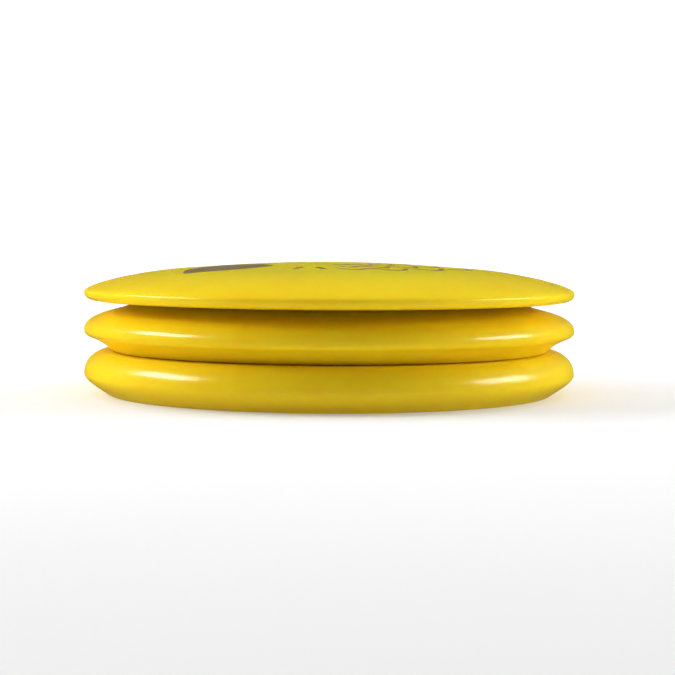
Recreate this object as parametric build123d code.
from build123d import *
from build123d.topology import SkipClean
import os
from math import cos, sin, pi, radians

os.makedirs("parts", exist_ok=True)

# Three golf discs stacked right side up: putter below, midrange on it, driver on top.
# Millimetres. Origin: centre of the ring the putter stands on. +Z up, -Y towards the viewer.

rim_radius = 106.0        # every disc is 212 mm across

# heights of the two upper rims' bottoms above the floor; each clears the disc below by about 0.2
midrange_lift = 18.66
driver_lift = 39.47

foil_sunk = 0.02          # the hot stamp presses the foil slightly into the plate
foil_proud = 0.08

# Each disc: heights are above its own rim bottom, radii from the disc's axis.
#  apex          top of the flight plate at the centre
#  plate         (radius, height, downward slope) where the flight plate ends
#  shoulder      same, where the knee outside the plate ends (None: no knee)
#  upper         handle lengths of the curve down to the nose: at its start, at the nose
#  nose          height of the widest point
#  lower         handle lengths of the curve under the nose: at the nose, at the rim bottom
#  heel_angle    angle at which that curve reaches the rim bottom, degrees
#  heel          outer radius of the flat rim bottom
#  inner         radius of the inner rim wall at the bottom
#  wall_height   height of the inner wall, up to the underside of the plate
#  wall_slope    downward slope of the underside where it meets the inner wall
#  ledge         (radius, height, slope) where the flat part of the underside ends (None: no knee)
#  thickness     flight plate at the centre
putter = dict(apex=20.85, plate=(97.6, 18.37, 0.01), shoulder=None, upper=(2.5, 6.6), nose=8.9,
              lower=(3.0, 5.0), heel_angle=36, heel=96.0, inner=94.0, wall_height=16.2, wall_slope=0.02,
              ledge=None, thickness=1.9)
midrange = dict(apex=21.35, plate=(81.5, 20.66, 0.06), shoulder=(88.75, 18.4, 0.335), upper=(5.8, 6.4),
                nose=8.75, lower=(3.6, 9.6), heel_angle=46, heel=94.3, inner=92.0, wall_height=15.2,
                wall_slope=0.335, ledge=(80.8, 18.6, 0.06), thickness=2.0)
driver = dict(apex=17.07, plate=(64.0, 14.14, 0.065), shoulder=None, upper=(17.2, 3.26), nose=4.25,
              lower=(5.2, 8.85), heel_angle=8, heel=89.4, inner=82.5, wall_height=10.0, wall_slope=0.15,
              ledge=None, thickness=1.8)

wall_draft = 1.5          # degrees, so that the disc leaves the mould core
heel_round = 0.7          # rounding on the inner edge of the rim bottom
corner_round = 2.5        # rounding where the inner wall meets the plate

gate_boss = (6.0, 0.35)   # radius and depth of the disc round the injection point
gate_pip = (1.5, 0.9)     # radius and depth of the broken-off sprue


def direction(slope):
    return Vector(1, -slope).normalized()


def plate_curve(centre_height, end, slope, raise_by):
    """A shallow dome line from the axis out to the point end."""
    centre = Vector(0, centre_height + raise_by)
    end = end + Vector(0, raise_by)
    return Bezier(centre, centre + Vector(0.45 * end.X, 0), end - direction(slope) * 0.3 * end.X, end)


def knee_curve(start, start_slope, end, end_slope):
    """The bend between two slopes, outside the flat part of a plate."""
    reach = end.X - start.X
    return Bezier(start, start + direction(start_slope) * reach * 0.4,
                  end - direction(end_slope) * reach * 0.35, end)


def wall_top(disc):
    return Vector(disc["inner"] - disc["wall_height"] * sin(radians(wall_draft)), disc["wall_height"])


def top_curves(disc, raise_by=0.0):
    """The upper side of a disc: flight plate, knee if it has one, and the curve down to the nose."""
    radius, height, slope = disc["plate"]
    curves = [plate_curve(disc["apex"], Vector(radius, height), slope, raise_by)]
    if disc["shoulder"]:
        r, z, knee_slope = disc["shoulder"]
        curves.append(knee_curve(curves[0] @ 1, slope, Vector(r, z + raise_by), knee_slope))
        slope = knee_slope
    start = curves[-1] @ 1
    nose = Vector(rim_radius, disc["nose"] + raise_by)
    curves.append(Bezier(start, start + direction(slope) * disc["upper"][0],
                         nose + Vector(0, disc["upper"][1]), nose))
    return curves


def underside_curves(disc, raise_by=0.0):
    """The underside of the flight plate, out to the inner wall."""
    end, slope = wall_top(disc), disc["wall_slope"]
    if disc["ledge"]:
        end, slope = Vector(*disc["ledge"][:2]), disc["ledge"][2]
    curves = [plate_curve(disc["apex"] - disc["thickness"], end, slope, raise_by)]
    if disc["ledge"]:
        curves.append(knee_curve(end + Vector(0, raise_by), slope,
                                 wall_top(disc) + Vector(0, raise_by), disc["wall_slope"]))
    return curves


def spin(outline, rounds=()):
    """The solid swept by a closed outline (radius, height) turning round the axis."""
    face = Face(Wire(outline))
    for corner, radius in rounds:
        face = face.fillet_2d(radius, [face.vertices().sort_by_distance(corner)[0]])
    return Solid.revolve(Plane.XZ * face, 360, Axis.Z)


def plain_disc(disc):
    """One disc without its marks."""
    nose = Vector(rim_radius, disc["nose"])
    heel = Vector(disc["heel"], 0)
    toe = Vector(disc["inner"], 0)
    angle = radians(disc["heel_angle"])
    lower = Bezier(nose, nose - Vector(0, disc["lower"][0]),
                   heel + Vector(cos(angle), sin(angle)) * disc["lower"][1], heel)
    below = underside_curves(disc)
    outline = [*top_curves(disc), lower, Line(heel, toe), Line(toe, wall_top(disc)), *below,
               Line(below[0] @ 0, (0, disc["apex"]))]
    return spin(outline, [(toe, heel_round), (wall_top(disc), corner_round)])


def shell(curves, disc, low, high):
    """A thin solid that follows one side of a disc, from low to high beside it."""
    under = curves(disc, low)
    over = curves(disc, high)
    return spin([*under, Line(under[-1] @ 1, over[-1] @ 1), *over, Line(over[0] @ 0, under[0] @ 0)])


def arc_wave(near, far, swing, turns, start, stop, width):
    """A wavy band round the centre between two angles in degrees, its mean radius going from near to far."""
    count = 8 * turns + 1
    middle = []
    for i in range(count):
        t = i / (count - 1)
        angle = radians(start + (stop - start) * t)
        middle.append((near + (far - near) * t - swing * cos(2 * pi * turns * t), angle))
    inner = [Vector((r - width / 2) * cos(a), (r - width / 2) * sin(a)) for r, a in middle]
    outer = [Vector((r + width / 2) * cos(a), (r + width / 2) * sin(a)) for r, a in middle]
    with BuildSketch() as band:
        with BuildLine():
            one = Spline(*inner)
            two = Spline(*outer)
            Line(one @ 0, two @ 0)
            Line(one @ 1, two @ 1)
        make_face()
    return band.sketch


def crescent(tip, end, outer_way, *inner_ways):
    """A leaf between two tips. The outer side is one arc through its way point; the inner side, from
    end back to tip, is one arc or more: way point, corner, way point and so on."""
    inner = [end, *inner_ways, tip]
    with BuildSketch() as leaf:
        with BuildLine():
            ThreePointArc(tip, outer_way, end)
            for i in range(0, len(inner) - 1, 2):
                ThreePointArc(*inner[i:i + 3])
        make_face()
    return leaf.sketch


def dash(x, y, length, width, turn):
    return Pos(x, y) * Rot(0, 0, turn) * SlotOverall(length, width)


def stamp(disc, lift, shapes):
    """Foil that follows the dome, cut to the given flat shapes."""
    skin = shell(top_curves, disc, -foil_sunk, foil_proud)
    pieces = []
    for shape in shapes:
        pieces += (extrude(shape, amount=40) & skin).solids()
    return Pos(0, 0, lift) * Compound(children=pieces)


def moulded_disc(disc, lift, mark_radius):
    """One disc, with its gate mark and raised marks on the underside."""
    body = plain_disc(disc)
    centre = disc["apex"] - disc["thickness"]
    for radius, depth in (gate_boss, gate_pip):
        plug = Cylinder(radius, depth + 0.8, align=(Align.CENTER, Align.CENTER, Align.MIN))
        body += Pos(0, 0, centre - depth) * plug
    # a row of plain bars stands where the maker's raised lettering would be
    skin = shell(underside_curves, disc, -0.3, 0.4)
    for i in range(14):
        bar = Rot(0, 0, 240 + 4 * i) * Pos(mark_radius, 0) * Rectangle(3.2, 1.2)
        body += extrude(bar, amount=40) & skin
    return Pos(0, 0, lift) * body


driver_art = [
    crescent((-59.5, -47.5), (-23.5, -28.5), (-42, -44), (-31.5, -11.5), (-47, -1), (-57.5, -20)),
    dash(-12.7, -43, 9, 2.0, 68),
    dash(-3.4, -45.2, 9, 2.4, -68),
]
driver_art += [arc_wave(47 - 11 * i, 61 - 13 * i, 3.6 - 0.7 * i, 4, -88, -10, 1.5) for i in range(3)]
midrange_art = [crescent((-50, -34), (10, 46), (-20, -24), (-50, 12))]
midrange_art += [arc_wave(42 - 11 * i, 60 - 13 * i, 6 - i, 5, -84, 10, 1.6) for i in range(3)]
putter_art = [crescent((-46, -44), (16, 52), (-14, -26), (-56, 10))]
putter_art += [arc_wave(46 - 11 * i, 66 - 14 * i, 7 - i, 5, -84, 10, 1.6) for i in range(3)]

# every curve of a section keeps a face of its own
with SkipClean():
    nodes = {
        "putter_disc": moulded_disc(putter, 0, 84),
        "putter_stamp": stamp(putter, 0, putter_art),
        "midrange_disc": moulded_disc(midrange, midrange_lift, 72),
        "midrange_stamp": stamp(midrange, midrange_lift, midrange_art),
        "driver_disc": moulded_disc(driver, driver_lift, 72),
        "driver_stamp": stamp(driver, driver_lift, driver_art),
    }

for name, shape in nodes.items():
    export_step(shape, f"parts/{name}.step")
    box = shape.bounding_box()
    print(name, round(shape.volume / 1000, 2), "cm3", [round(v, 2) for v in (*box.min, *box.max)])
